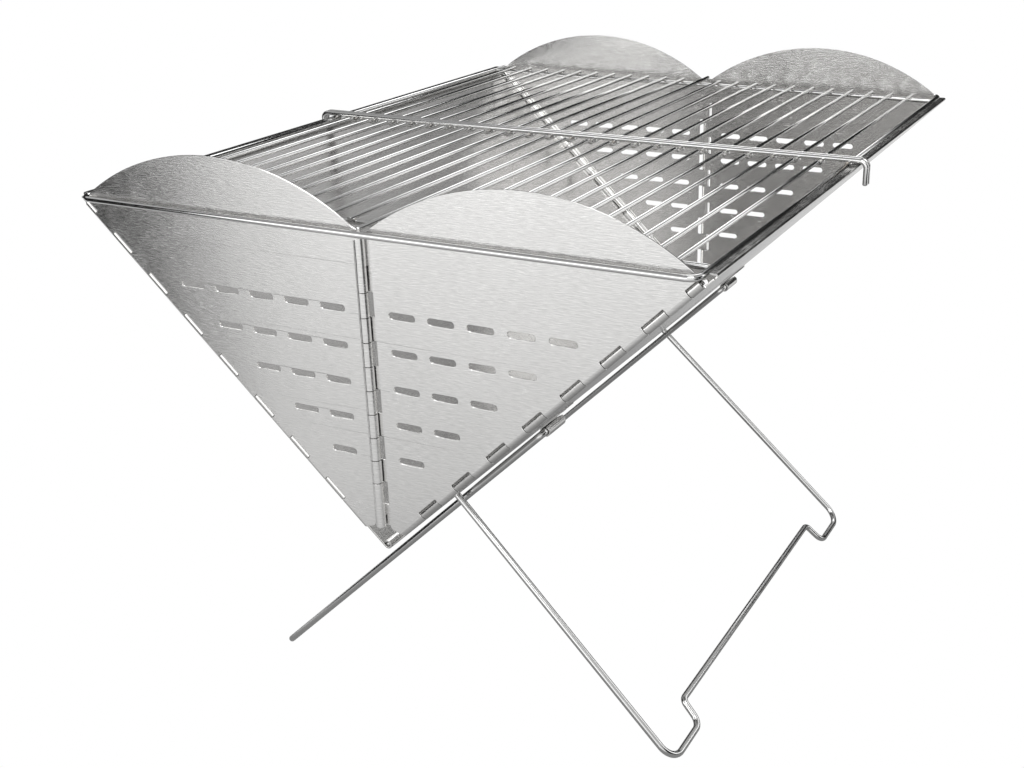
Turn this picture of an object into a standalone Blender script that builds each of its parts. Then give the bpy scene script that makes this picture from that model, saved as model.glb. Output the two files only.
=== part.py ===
"""Folding camp grill: a V-shaped trough of hinged sheet panels on two crossing wire legs, with a lift-off grate.

X is the width, Y the length with the front at -Y, and Z is up. The origin is on the ground, under the middle.
Most places are worked out from the rim, the level of the trough's top edge, and from the pin lines, the
centre lines of the piano hinges that join the six sheet panels.
"""
import math

import bmesh
import bpy
from mathutils import Matrix, Vector

MM = 0.001

# trough
PIN_HALF_WIDTH = 178 * MM     # slanted pin lines at the rim, from the middle
PIN_DEPTH = 170.75 * MM       # rim down to the bottom pin
LENGTH = 453 * MM             # over the end panels' outer faces
SHEET = 1.0 * MM
SCALLOP_HEIGHT = 26.7 * MM    # end panels above the rim
SCALLOP_INNER_X = 4.6 * MM
SCALLOP_OUTER_X = 169.6 * MM
SCALLOP_END_RISE = 0.4 * MM   # the scallop's outer end, above the corner
WIRE_NOTCH_DEPTH = 3.9 * MM   # the corner cut out below the rim, for the grate's frame wire
TOE_DROP = 160.2 * MM         # rim down to the end panels' rounded lower ends
FLANGE_WIDTH = 5.6 * MM       # side panels' top edge, folded inwards
FLANGE_DROP = 0.8 * MM        # rim down to the flange

# piano hinges
CORNER_BARREL = (2.46 * MM, 1.35 * MM)     # outer and bore radius of a knuckle on a slanted or bottom hinge
CENTRE_BARREL = (2.75 * MM, 1.65 * MM)     # and on the hinge between two end panels
CORNER_OFFSET = 2.4 * MM      # pin line to the outer face of the sheet that is rolled round it
CENTRE_OFFSET = 2.7 * MM
CORNER_PIN_RADIUS = 1.0 * MM
CENTRE_PIN_RADIUS = 1.25 * MM
CORNER_PITCH = 14.2 * MM
CORNER_START = 14.7 * MM      # rim to the end panels' first knuckle, along the slope
SHORT_KNUCKLE_START = 7.2 * MM
CORNER_KNUCKLES = 15
CENTRE_PITCH = 12.71 * MM
CENTRE_START = 5.2 * MM
CENTRE_KNUCKLES = 12
BOTTOM_KNUCKLES = 16
END_CLEARANCE = 2.35 * MM     # an end panel's notch, back from the slanted pin line
CENTRE_CLEARANCE = 4.6 * MM
SIDE_CLEARANCE = 2.5 * MM     # a side panel's notch, back from a pin line
FIT = 0.3 * MM                # the smallest gap between two pieces

# vents in the end panels
SLOT_LENGTH = 15 * MM
SLOT_HEIGHT = 3.7 * MM
SLOT_FIRST_X = 20.2 * MM
SLOT_PITCH_X = 21.7 * MM
SLOT_FIRST_DROP = 41.3 * MM
SLOT_PITCH_Z = 19.3 * MM
SLOT_ROWS = 5

# grate
FRAME_WIRE_RADIUS = 1.6 * MM
CROSS_ROD_RADIUS = 1.5 * MM
BAR_RADIUS = 1.2 * MM
MIDDLE_ROD_RADIUS = 1.5 * MM
FRAME_WIRE_X = 172.5 * MM
FRAME_WIRE_Y = 230 * MM
FRAME_WIRE_Z = -1.7 * MM      # from the rim
FRAME_BEND = 6 * MM
BARS_PER_SIDE = 11
BAR_PITCH = 14.3 * MM
WELD_DEPTH = 0.35 * MM        # a bar sunk into the rod that it is welded to
CROSS_ROD_Y = 211 * MM
BAR_TIP_Y = 215 * MM
MIDDLE_ROD_Y = 1.9 * MM
GRATE_GAP = 1.2 * MM          # between the ends of the two halves' bars
HOOK_X = 183.4 * MM
HOOK_DROP = 12 * MM
HOOK_BEND = 4 * MM

# legs, each in the plane of a side panel, with a wide flared end
LEG_WIRE_RADIUS = 2.0 * MM
LEG_AXIS_OFFSET = 6.0 * MM    # slanted pin plane out to a leg's hinge axis
LEG_REACH = 196 * MM          # from below the bottom pin to the foot, along the slope
FOOT_RISE = 16.5 * MM         # feet down from the cross bar, along the slope
FOOT_LEAN = 3 * MM            # a foot loop's inner side, across its height
HINGE_BEND = 4 * MM
OUTER_FOOT_BEND = 11 * MM
INNER_FOOT_BEND = 7 * MM
CROSS_BAR_BEND = 4 * MM
LEFT_LEG_PIVOT = 76 * MM      # from the bottom pin up the slope
LEFT_LEG_CENTRE_Y = 2.5 * MM
LEFT_LEG_HALF_SPAN = 147 * MM
LEFT_LEG_FLARE = 15.5 * MM    # how much wider each side is at the foot
LEFT_FOOT_WIDTH = 40 * MM
RIGHT_LEG_PIVOT = 60 * MM
RIGHT_LEG_CENTRE_Y = 1.5 * MM
RIGHT_LEG_HALF_SPAN = 140.5 * MM
RIGHT_LEG_FLARE = 13 * MM
RIGHT_FOOT_WIDTH = 26 * MM    # narrow enough to swing through the left leg's feet
BRACKET_WIDTH = 19 * MM
BRACKET_TAB = 14 * MM
BRACKET_INNER_RADIUS = 2.3 * MM
BRACKET_SHEET = 0.9 * MM

SLOPE = math.atan2(PIN_HALF_WIDTH, PIN_DEPTH)      # a side panel's lean from upright
PANEL_SLANT = math.hypot(PIN_HALF_WIDTH, PIN_DEPTH)
FOOT_DROP = (LEG_REACH * math.cos(SLOPE) + LEG_AXIS_OFFSET * math.sin(SLOPE) + LEG_WIRE_RADIUS)
RIM_Z = PIN_DEPTH + FOOT_DROP
CORNER_PIN_Y = LENGTH / 2 - CORNER_OFFSET
CENTRE_PIN_Y = LENGTH / 2 - SHEET + CENTRE_OFFSET

HALF_TURN = Matrix.Rotation(math.pi, 4, "Z")
UNTURNED = Matrix.Identity(4)


def clear_scene():
    for obj in list(bpy.data.objects):
        bpy.data.objects.remove(obj, do_unlink=True)


def new_collection(name):
    collection = bpy.data.collections.new(name)
    bpy.context.scene.collection.children.link(collection)
    return collection


def steel(name, colour, roughness):
    material = bpy.data.materials.new(name)
    material.use_nodes = True
    shader = material.node_tree.nodes["Principled BSDF"]
    shader.inputs["Base Color"].default_value = (*colour, 1.0)
    shader.inputs["Metallic"].default_value = 1.0
    shader.inputs["Roughness"].default_value = roughness
    return material


def frame_matrix(origin, x_axis, y_axis):
    """A frame from its origin and its first two axes, which are at right angles."""
    x = Vector(x_axis).normalized()
    y = Vector(y_axis).normalized()
    z = x.cross(y)
    rotation = Matrix((x, y, z)).transposed().to_4x4()
    return Matrix.Translation(origin) @ rotation


# ---- points -------------------------------------------------------------------------------------------

def arc(centre, radius, start, end, steps):
    """Points on a circle from one angle to another, both ends included."""
    points = []
    for i in range(steps + 1):
        angle = start + (end - start) * i / steps
        points.append((centre[0] + radius * math.cos(angle), centre[1] + radius * math.sin(angle)))
    return points


def filleted(corners, radii, steps=4):
    """A path through the corners, each inner corner rounded with its own radius."""
    points = [Vector(corners[0])]
    for before, corner, after, radius in zip(corners, corners[1:], corners[2:], radii):
        corner = Vector(corner)
        back = (Vector(before) - corner).normalized()
        ahead = (Vector(after) - corner).normalized()
        half = back.angle(ahead) / 2
        centre = corner + (back + ahead).normalized() * radius / math.sin(half)
        first = corner + back * radius / math.tan(half) - centre
        last = corner + ahead * radius / math.tan(half) - centre
        sweep = first.angle(last)
        for i in range(steps + 1):
            t = i / steps
            mixed = first * math.sin((1 - t) * sweep) + last * math.sin(t * sweep)
            points.append(centre + mixed / math.sin(sweep))
    points.append(Vector(corners[-1]))
    return points


def slot_outline(x, z):
    """A vent: a long hole with round ends."""
    radius = SLOT_HEIGHT / 2
    reach = SLOT_LENGTH / 2 - radius
    right = arc((x + reach, z), radius, -math.pi / 2, math.pi / 2, 2)
    left = arc((x - reach, z), radius, math.pi / 2, 3 * math.pi / 2, 2)
    return right + left


# ---- meshes -------------------------------------------------------------------------------------------

def mesh_from_curve(curve):
    """The closed mesh of a curve, with its caps welded on."""
    obj = bpy.data.objects.new(curve.name, curve)
    bpy.context.scene.collection.objects.link(obj)
    evaluated = obj.evaluated_get(bpy.context.evaluated_depsgraph_get())
    mesh = bpy.data.meshes.new_from_object(evaluated)
    bpy.data.objects.remove(obj, do_unlink=True)
    bm = bmesh.new()
    bm.from_mesh(mesh)
    bmesh.ops.remove_doubles(bm, verts=bm.verts, dist=1e-7)
    bmesh.ops.recalc_face_normals(bm, faces=bm.faces)
    bm.to_mesh(mesh)
    bm.free()
    return mesh


def plate_mesh(name, outlines, thickness, level=0.0):
    """A flat plate in the local XY plane: the first outline is its edge and the others are its holes."""
    curve = bpy.data.curves.new(name, "CURVE")
    curve.dimensions = "2D"
    curve.fill_mode = "BOTH"
    curve.extrude = thickness / 2
    for outline in outlines:
        spline = curve.splines.new("POLY")
        spline.points.add(len(outline) - 1)
        for point, (x, y) in zip(spline.points, outline):
            point.co = (x, y, 0, 1)
        spline.use_cyclic_u = True
    mesh = mesh_from_curve(curve)
    mesh.transform(Matrix.Translation((0, 0, level)))
    return mesh


def wire_mesh(name, points, radius, resolution=2):
    curve = bpy.data.curves.new(name, "CURVE")
    curve.dimensions = "3D"
    curve.bevel_depth = radius
    curve.bevel_resolution = resolution
    curve.use_fill_caps = True
    spline = curve.splines.new("POLY")
    spline.points.add(len(points) - 1)
    for point, co in zip(spline.points, points):
        point.co = (*co, 1)
    return mesh_from_curve(curve)


def knuckle_mesh(length, barrel):
    """A hinge knuckle: a short tube round the local Z axis."""
    outer = arc((0, 0), barrel[0], 0, 2 * math.pi, 8)[:-1]
    bore = arc((0, 0), barrel[1], 0, 2 * math.pi, 6)[:-1]
    return plate_mesh("knuckle", [outer, bore], length)


def joined(name, placed_meshes):
    """One mesh of several, each with its own placement."""
    bm = bmesh.new()
    for mesh, matrix in placed_meshes:
        copy = mesh.copy()
        copy.transform(matrix)
        bm.from_mesh(copy)
        bpy.data.meshes.remove(copy)
    mesh = bpy.data.meshes.new(name)
    bm.to_mesh(mesh)
    bm.free()
    return mesh


def united(mesh, other):
    """The Boolean union of two meshes, either of which may hold several bodies."""
    base = bpy.data.objects.new(mesh.name, mesh)
    tool = bpy.data.objects.new(other.name, other)
    for obj in (base, tool):
        bpy.context.scene.collection.objects.link(obj)
    modifier = base.modifiers.new("union", "BOOLEAN")
    modifier.operation = "UNION"
    modifier.solver = "EXACT"
    modifier.use_self = True
    modifier.object = tool
    evaluated = base.evaluated_get(bpy.context.evaluated_depsgraph_get())
    result = bpy.data.meshes.new_from_object(evaluated)
    result.name = mesh.name
    bpy.data.objects.remove(base, do_unlink=True)
    bpy.data.objects.remove(tool, do_unlink=True)
    return result


class Grill:
    """The collection that the pieces go in, and the materials that they share."""

    def __init__(self):
        self.collection = new_collection("folding_camp_grill")
        self.sheet = steel("brushed_steel_sheet", (0.62, 0.62, 0.61), 0.34)
        self.hinge = steel("hinge_steel", (0.66, 0.66, 0.65), 0.25)
        self.wire = steel("polished_steel_wire", (0.72, 0.72, 0.72), 0.16)

    def add(self, name, mesh, material, matrix=UNTURNED, parent=None):
        mesh.name = name
        mesh.materials.clear()
        mesh.materials.append(material.copy())
        mesh.materials[0].name = name + "_steel"
        mesh.shade_smooth()
        mesh.set_sharp_from_angle(angle=math.radians(40))
        obj = bpy.data.objects.new(name, mesh)
        self.collection.objects.link(obj)
        obj.matrix_world = matrix
        if parent:
            obj.parent = parent
            obj.matrix_parent_inverse = parent.matrix_world.inverted()
        return obj

    def joint(self, name, location):
        """An empty on a joint's axis, the parent of the pieces that move together."""
        empty = bpy.data.objects.new(name, None)
        empty.location = location
        self.collection.objects.link(empty)
        bpy.context.view_layer.update()
        return empty


# ---- hinge knuckles -----------------------------------------------------------------------------------

def corner_knuckles(of_end_panel):
    """Spans along the slanted pin, from the rim down. End and side panels take them in turn."""
    first = 0 if of_end_panel else 1
    spans = [] if of_end_panel else [(SHORT_KNUCKLE_START, CORNER_START - FIT / 2)]
    for i in range(first, CORNER_KNUCKLES, 2):
        start = CORNER_START + i * CORNER_PITCH
        spans.append((start + FIT / 2, start + CORNER_PITCH - FIT / 2))
    return spans


def centre_knuckles(first):
    """Spans down the centre pin, from the rim, of the panel that has the first one (0) or the second (1)."""
    spans = []
    for i in range(first, CENTRE_KNUCKLES, 2):
        start = CENTRE_START + i * CENTRE_PITCH
        spans.append((start + FIT / 2, start + CENTRE_PITCH - FIT / 2))
    return spans


def bottom_knuckles(first):
    pitch = 2 * CORNER_PIN_Y / BOTTOM_KNUCKLES
    spans = []
    for i in range(first, BOTTOM_KNUCKLES, 2):
        start = -CORNER_PIN_Y + i * pitch
        spans.append((start + FIT / 2, start + pitch - FIT / 2))
    return spans


def tubes(spans, place, barrel=CORNER_BARREL):
    """Knuckles along an axis. place(middle) is the frame of one, with its Z along the axis."""
    placed = []
    for start, end in spans:
        placed.append((knuckle_mesh(end - start, barrel), place((start + end) / 2)))
    return joined("knuckles", placed)


# ---- end panels ---------------------------------------------------------------------------------------

def on_slant(side, down, inwards):
    """A point on an end panel, from its distance down the slanted pin line and in from it."""
    x = PIN_HALF_WIDTH - down * math.sin(SLOPE) - inwards * math.cos(SLOPE)
    z = -down * math.cos(SLOPE) + inwards * math.sin(SLOPE)
    return side * x, z


def end_panel_outline(side, centre_spans):
    """The edge of one end panel, with x across, z up from the rim. side is 1 on the right, -1 on the left."""
    half = (SCALLOP_OUTER_X - SCALLOP_INNER_X) / 2
    radius = (half ** 2 + SCALLOP_HEIGHT ** 2) / (2 * SCALLOP_HEIGHT)
    middle = (SCALLOP_OUTER_X + SCALLOP_INNER_X) / 2
    opening = math.asin(half / radius)
    level = SCALLOP_END_RISE + SCALLOP_HEIGHT - radius
    top = arc((middle, level), radius, math.pi / 2 + opening, math.pi / 2 - opening, 18)
    points = [(side * x, z) for x, z in top]

    # the corner under the scallop is cut out, clear of the frame wire
    points.append((side * SCALLOP_OUTER_X, -WIRE_NOTCH_DEPTH))
    notch_down = (WIRE_NOTCH_DEPTH + END_CLEARANCE * math.sin(SLOPE)) / math.cos(SLOPE)
    points.append(on_slant(side, notch_down, END_CLEARANCE))
    for start, end in corner_knuckles(True):
        points.append(on_slant(side, start, END_CLEARANCE))
        points.append(on_slant(side, start, 0))
        points.append(on_slant(side, end, 0))
        points.append(on_slant(side, end, END_CLEARANCE))

    round_end = 3 * MM
    toe = CENTRE_CLEARANCE + round_end
    toe_arc = arc((toe, -TOE_DROP + round_end), round_end, -math.pi / 2, -math.pi, 3)
    points += [(side * x, z) for x, z in toe_arc]
    for start, end in reversed(centre_spans):
        points.append((side * CENTRE_CLEARANCE, -end))
        points.append((0, -end))
        points.append((0, -start))
        points.append((side * CENTRE_CLEARANCE, -start))
    return points


def vents(side):
    holes = []
    for row in range(SLOT_ROWS):
        for column in range(SLOT_ROWS - row):
            x = side * (SLOT_FIRST_X + column * SLOT_PITCH_X)
            holes.append(slot_outline(x, -SLOT_FIRST_DROP - row * SLOT_PITCH_Z))
    return holes


def end_panel_mesh(side, first_centre_knuckle):
    """An end panel in the front's frame: x across, y up from the rim, z outwards from the grill's middle."""
    centre_spans = centre_knuckles(first_centre_knuckle)
    outline = end_panel_outline(side, centre_spans)
    plate = plate_mesh("end_panel", [outline] + vents(side), SHEET, LENGTH / 2 - SHEET / 2)
    across_slant = (side * math.cos(SLOPE), -math.sin(SLOPE), 0)

    def on_corner_pin(down):
        x, y = on_slant(side, down, 0)
        return frame_matrix((x, y, CORNER_PIN_Y), (0, 0, 1), across_slant)

    def on_centre_pin(down):
        return frame_matrix((0, -down, CENTRE_PIN_Y), (0, 0, 1), (1, 0, 0))

    corner = tubes(corner_knuckles(True), on_corner_pin)
    centre = tubes(centre_spans, on_centre_pin, CENTRE_BARREL)
    knuckles = joined("knuckles", [(corner, UNTURNED), (centre, UNTURNED)])
    return united(plate, knuckles)


def add_end_panels(grill):
    front = frame_matrix((0, 0, RIM_Z), (1, 0, 0), (0, 0, 1))
    for end, turn in (("front", UNTURNED), ("rear", HALF_TURN)):
        for side, first_knuckle in ((-1, 0), (1, 1)):
            # the half turn that makes the rear swaps left and right
            is_left = (side < 0) == (end == "front")
            name = f"{end}_{'left' if is_left else 'right'}_end_panel"
            grill.add(name, end_panel_mesh(side, first_knuckle), grill.sheet, turn @ front)


# ---- side panels --------------------------------------------------------------------------------------

def side_panel_outline(first_bottom_knuckle):
    """The edge of the right side panel, with x along the length and y up the slope from the bottom pin."""
    top = PANEL_SLANT - 0.4 * MM
    end = CORNER_PIN_Y
    front_edge = [(-end, top)]
    for start, stop in corner_knuckles(True):
        front_edge.append((-end, PANEL_SLANT - start + FIT))
        front_edge.append((-end + SIDE_CLEARANCE, PANEL_SLANT - start + FIT))
        front_edge.append((-end + SIDE_CLEARANCE, PANEL_SLANT - stop - FIT))
        front_edge.append((-end, PANEL_SLANT - stop - FIT))
    points = list(front_edge)
    for start, stop in bottom_knuckles(1 - first_bottom_knuckle):
        points.append((start - FIT, 0))
        points.append((start - FIT, SIDE_CLEARANCE))
        points.append((stop + FIT, SIDE_CLEARANCE))
        points.append((stop + FIT, 0))
    rear_edge = [(-x, y) for x, y in reversed(front_edge)]
    return without_repeats(points + rear_edge)


def without_repeats(points):
    """The outline without a point that doubles back past an edge or repeats the one before it."""
    limit = CORNER_PIN_Y
    kept = []
    for x, y in points:
        point = (max(-limit, min(limit, x)), y)
        if not kept or math.dist(kept[-1], point) > 0.01 * MM:
            kept.append(point)
    return kept


def side_panel_mesh(first_bottom_knuckle):
    """The right side panel in its own frame: x along the length, y up the slope, z outwards."""
    level = CORNER_OFFSET - SHEET / 2
    outline = side_panel_outline(first_bottom_knuckle)
    plate = plate_mesh("side_panel", [outline], SHEET, level)

    def on_bottom_pin(along):
        return frame_matrix((along, 0, 0), (0, 0, 1), (0, 1, 0))

    def on_corner_pin(end):
        def place(down):
            return frame_matrix((end * CORNER_PIN_Y, PANEL_SLANT - down, 0), (0, 0, 1), (1, 0, 0))
        return place

    knuckles = [(tubes(bottom_knuckles(first_bottom_knuckle), on_bottom_pin), UNTURNED)]
    for end in (-1, 1):
        knuckles.append((tubes(corner_knuckles(False), on_corner_pin(end)), UNTURNED))
    knuckles.append((flange_mesh(), UNTURNED))
    return united(plate, joined("knuckles", knuckles))


def flange_mesh():
    """The top edge, folded level and inwards, in the right side panel's frame."""
    top = -FLANGE_DROP
    face_x = PIN_HALF_WIDTH + (CORNER_OFFSET + top * math.sin(SLOPE)) / math.cos(SLOPE)
    outer_x = face_x - 0.25 * MM
    inner_x = outer_x - FLANGE_WIDTH
    corners = [(inner_x, top), (outer_x, top), (outer_x - SHEET, top - SHEET), (inner_x, top - SHEET)]
    outline = [slope_coordinates(x, z) for x, z in corners]
    length = 2 * (CORNER_PIN_Y - SIDE_CLEARANCE)
    mesh = plate_mesh("flange", [outline], length)
    # the outline is drawn across the slope, and its thickness runs along the length
    mesh.transform(Matrix(((0, 0, 1, 0), (1, 0, 0, 0), (0, 1, 0, 0), (0, 0, 0, 1))))
    return mesh


def slope_coordinates(x, z):
    """Distances up the slope and out from it, of a point given across and up from the rim."""
    up = x * math.sin(SLOPE) + (z + PIN_DEPTH) * math.cos(SLOPE)
    out = x * math.cos(SLOPE) - (z + PIN_DEPTH) * math.sin(SLOPE)
    return up, out


def side_panel_frame():
    """The right side panel's frame, with its origin on the bottom pin."""
    up_slope = (math.sin(SLOPE), 0, math.cos(SLOPE))
    return frame_matrix((0, 0, RIM_Z - PIN_DEPTH), (0, 1, 0), up_slope)


def add_side_panels(grill):
    mesh = side_panel_mesh(1)
    grill.add("right_side_panel", mesh, grill.sheet, side_panel_frame())
    grill.add("left_side_panel", mesh.copy(), grill.sheet, HALF_TURN @ side_panel_frame())


# ---- hinge pins ---------------------------------------------------------------------------------------

def add_pin(grill, name, start, end, radius=CORNER_PIN_RADIUS):
    grill.add(name, wire_mesh(name, [start, end], radius, 1), grill.hinge)


def add_pins(grill):
    bottom_z = RIM_Z - PIN_DEPTH
    reach = CORNER_PIN_Y - FIT
    add_pin(grill, "bottom_hinge_pin", (0, -reach, bottom_z), (0, reach, bottom_z))
    centre_low = CENTRE_START + CENTRE_KNUCKLES * CENTRE_PITCH
    corner_low = CORNER_START + CORNER_KNUCKLES * CORNER_PITCH
    for end, sign in (("front", -1), ("rear", 1)):
        y = sign * CENTRE_PIN_Y
        top, low = (0, y, RIM_Z - CENTRE_START + FIT), (0, y, RIM_Z - centre_low - FIT)
        add_pin(grill, f"{end}_centre_hinge_pin", top, low, CENTRE_PIN_RADIUS)
        for name, side in (("left", -1), ("right", 1)):
            ends = []
            for down in (SHORT_KNUCKLE_START, corner_low + FIT):
                x, z = on_slant(side, down, 0)
                ends.append((x, sign * CORNER_PIN_Y, RIM_Z + z))
            add_pin(grill, f"{end}_{name}_corner_hinge_pin", *ends)


# ---- grate --------------------------------------------------------------------------------------------

def frame_wire_points():
    """The front half's outer wire: a U round the end panels, open at the middle."""
    x, y, z = FRAME_WIRE_X, FRAME_WIRE_Y, FRAME_WIRE_Z
    tip = -GRATE_GAP / 2
    corners = [(-x, tip, z), (-x, -y, z), (x, -y, z), (x, tip, z)]
    return filleted(corners, (FRAME_BEND, FRAME_BEND))


def middle_rod_points():
    """The front half's rod at the middle of the grate, with its ends turned down as hooks."""
    y = -MIDDLE_ROD_Y
    z = MIDDLE_ROD_RADIUS + FIT
    x = HOOK_X
    corners = [(-x, y, -HOOK_DROP), (-x, y, z), (x, y, z), (x, y, -HOOK_DROP)]
    return filleted(corners, (HOOK_BEND, HOOK_BEND))


def bars_mesh():
    """The front half's bars, welded on the cross rod that runs just inside the end panels."""
    rod_z = FRAME_WIRE_Z
    bar_z = rod_z + CROSS_ROD_RADIUS + BAR_RADIUS - WELD_DEPTH
    under_rod_z = -BAR_RADIUS
    rod_end = FRAME_WIRE_X - FRAME_WIRE_RADIUS - FIT
    rod = wire_mesh("cross_rod", [(-rod_end, -CROSS_ROD_Y, rod_z), (rod_end, -CROSS_ROD_Y, rod_z)],
                    CROSS_ROD_RADIUS)
    tip_at_frame = FRAME_WIRE_Y - FRAME_WIRE_RADIUS - FIT
    bars = []
    for i in range(-BARS_PER_SIDE, BARS_PER_SIDE + 1):
        tip = tip_at_frame if i == 0 else BAR_TIP_Y
        path = [(-tip, bar_z), (-9 * MM, bar_z), (-5 * MM, under_rod_z), (-GRATE_GAP / 2, under_rod_z)]
        points = [(i * BAR_PITCH, y, z) for y, z in path]
        bars.append((wire_mesh("bar", points, BAR_RADIUS, 1), UNTURNED))
    return united(rod, joined("bars", bars))


def add_grate(grill):
    for end, turn in (("front", UNTURNED), ("rear", HALF_TURN)):
        sign = -1 if end == "front" else 1
        lift = grill.joint(f"{end}_grate_lift", (0, sign * FRAME_WIRE_Y / 2, RIM_Z))
        place = turn @ Matrix.Translation((0, 0, RIM_Z))
        frame_wire = wire_mesh("frame_wire", frame_wire_points(), FRAME_WIRE_RADIUS)
        middle_rod = wire_mesh("middle_rod", middle_rod_points(), MIDDLE_ROD_RADIUS)
        grill.add(f"{end}_grate_frame_wire", frame_wire, grill.wire, place, lift)
        grill.add(f"{end}_grate_bars", bars_mesh(), grill.wire, place, lift)
        grill.add(f"{end}_grate_middle_rod", middle_rod, grill.wire, place, lift)


# ---- legs ---------------------------------------------------------------------------------------------

def leg_points(pivot, centre, half_span, flare, foot_width):
    """A leg's wire in its own frame: x along the length, y down the slope from its hinge axis."""
    foot = LEG_REACH + pivot
    bar = foot - FOOT_RISE
    wide = half_span + flare
    barrel = BRACKET_WIDTH + 6 * MM
    corners = [
        (centre - half_span + barrel, 0),
        (centre - half_span, 0),
        (centre - wide, foot),
        (centre - wide + foot_width, foot),
        (centre - wide + foot_width + FOOT_LEAN, bar),
        (centre + wide - foot_width - FOOT_LEAN, bar),
        (centre + wide - foot_width, foot),
        (centre + wide, foot),
        (centre + half_span, 0),
        (centre + half_span + barrel, 0),
    ]
    one_side = [HINGE_BEND, OUTER_FOOT_BEND, INNER_FOOT_BEND, CROSS_BAR_BEND]
    radii = one_side + one_side[::-1]
    return filleted([(x, y, 0) for x, y in corners], radii)


def bracket_mesh():
    """A strap rolled round the leg's wire, with a tab on the panel. x is up the slope, y is outwards."""
    inner = BRACKET_INNER_RADIUS
    outer = inner + BRACKET_SHEET
    start = -math.pi / 2
    end = start - math.radians(300)
    roll_out = arc((0, 0), outer, start, end, 10)
    roll_in = arc((0, 0), inner, end, start, 10)
    outline = [(BRACKET_TAB, -outer)] + roll_out + roll_in + [(BRACKET_TAB, -inner)]
    return plate_mesh("bracket", [outline], BRACKET_WIDTH)


def add_leg(grill, name, pivot, centre_y, half_span, flare, foot_width, turn):
    """A leg, hinged on the side panel that turn puts in the right one's place, and its two brackets."""
    panel = turn @ side_panel_frame()
    down_slope = -(panel.to_3x3() @ Vector((0, 1, 0)))
    axis_point = panel @ Vector((0, pivot, LEG_AXIS_OFFSET))
    hinge = grill.joint(f"{name}_fold", axis_point)
    frame = frame_matrix(axis_point, (0, 1, 0), down_slope)
    points = leg_points(pivot, centre_y, half_span, flare, foot_width)
    wire = wire_mesh(name, points, LEG_WIRE_RADIUS)
    grill.add(name, wire, grill.wire, frame, hinge)
    for place, corner in (("front", -half_span), ("rear", half_span)):
        middle_y = centre_y + corner + 4.5 * MM + BRACKET_WIDTH / 2
        centre = Vector((axis_point.x, middle_y, axis_point.z))
        outwards = panel.to_3x3() @ Vector((0, 0, 1))
        bracket = frame_matrix(centre, -down_slope, outwards)
        grill.add(f"{name}_{place}_bracket", bracket_mesh(), grill.hinge, bracket)


def add_legs(grill):
    add_leg(grill, "right_leg", RIGHT_LEG_PIVOT, RIGHT_LEG_CENTRE_Y, RIGHT_LEG_HALF_SPAN, RIGHT_LEG_FLARE,
            RIGHT_FOOT_WIDTH, UNTURNED)
    add_leg(grill, "left_leg", LEFT_LEG_PIVOT, LEFT_LEG_CENTRE_Y, LEFT_LEG_HALF_SPAN, LEFT_LEG_FLARE,
            LEFT_FOOT_WIDTH, HALF_TURN)


def main():
    clear_scene()
    grill = Grill()
    add_side_panels(grill)
    add_end_panels(grill)
    add_pins(grill)
    add_grate(grill)
    add_legs(grill)


main()
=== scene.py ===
"""The looks of the folding camp grill: rolled sheet hinges, brushed panels, bright wires, light and camera."""
import math

import bmesh
import bpy
from mathutils import Matrix, Vector, noise


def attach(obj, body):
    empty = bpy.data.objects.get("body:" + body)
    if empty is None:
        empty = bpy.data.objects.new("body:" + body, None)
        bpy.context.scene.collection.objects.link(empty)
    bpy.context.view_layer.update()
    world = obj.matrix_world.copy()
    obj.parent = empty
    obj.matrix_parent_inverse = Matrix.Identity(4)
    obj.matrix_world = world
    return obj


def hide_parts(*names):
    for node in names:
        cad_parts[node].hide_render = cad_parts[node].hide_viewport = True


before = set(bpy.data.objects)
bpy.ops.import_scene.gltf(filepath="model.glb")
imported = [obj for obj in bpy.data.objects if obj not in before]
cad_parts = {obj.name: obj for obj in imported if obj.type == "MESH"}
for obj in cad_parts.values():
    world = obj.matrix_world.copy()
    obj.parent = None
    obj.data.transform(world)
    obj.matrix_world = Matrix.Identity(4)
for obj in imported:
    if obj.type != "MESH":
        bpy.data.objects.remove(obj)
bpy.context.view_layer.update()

MM = 0.001

# trough, as in the CAD: an offset is from a sheet's far face to its pin's axis, a start is down from the rim
PIN_HALF_WIDTH = 178 * MM
PIN_DEPTH = 170.75 * MM
LENGTH = 453 * MM
SHEET = 1.0 * MM
SCALLOP_HEIGHT = 26.7 * MM
SCALLOP_INNER_X = 4.6 * MM
SCALLOP_OUTER_X = 169.6 * MM
SCALLOP_END_RISE = 0.4 * MM
SCALLOP_STEPS = 72
WIRE_NOTCH_DEPTH = 3.9 * MM
TOE_DROP = 160.2 * MM
TOE_ROUND = 3 * MM
TOE_STEPS = 10
FLANGE_DROP = 0.8 * MM
FLANGE_INNER_X = 174.8 * MM
FLANGE_BEND = 0.6 * MM
FLANGE_CUTS = 9
FLANGE_NECK = 0.4 * MM
CORNER_OFFSET = 2.4 * MM
CENTRE_OFFSET = 2.7 * MM
CORNER_PITCH = 14.2 * MM
CORNER_START = 14.7 * MM
SHORT_KNUCKLE_START = 7.2 * MM
CORNER_KNUCKLES = 15
CENTRE_PITCH = 12.71 * MM
CENTRE_START = 5.2 * MM
CENTRE_KNUCKLES = 12
BOTTOM_KNUCKLES = 16
END_CLEARANCE = 2.35 * MM
CENTRE_CLEARANCE = 4.6 * MM
SIDE_CLEARANCE = 2.5 * MM
FIT = 0.3 * MM
CORNER_PIN_RADIUS = 1.1 * MM
CENTRE_PIN_RADIUS = 1.35 * MM
ROLL = math.radians(292)
ROLL_CUTS = 18
SLANT_TAB_ROUND = 0.7 * MM
CENTRE_TAB_ROUND = 0.6 * MM
SIDE_TAB_ROUND = 0.6 * MM
SHEET_BEVEL = 0.13 * MM

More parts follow.
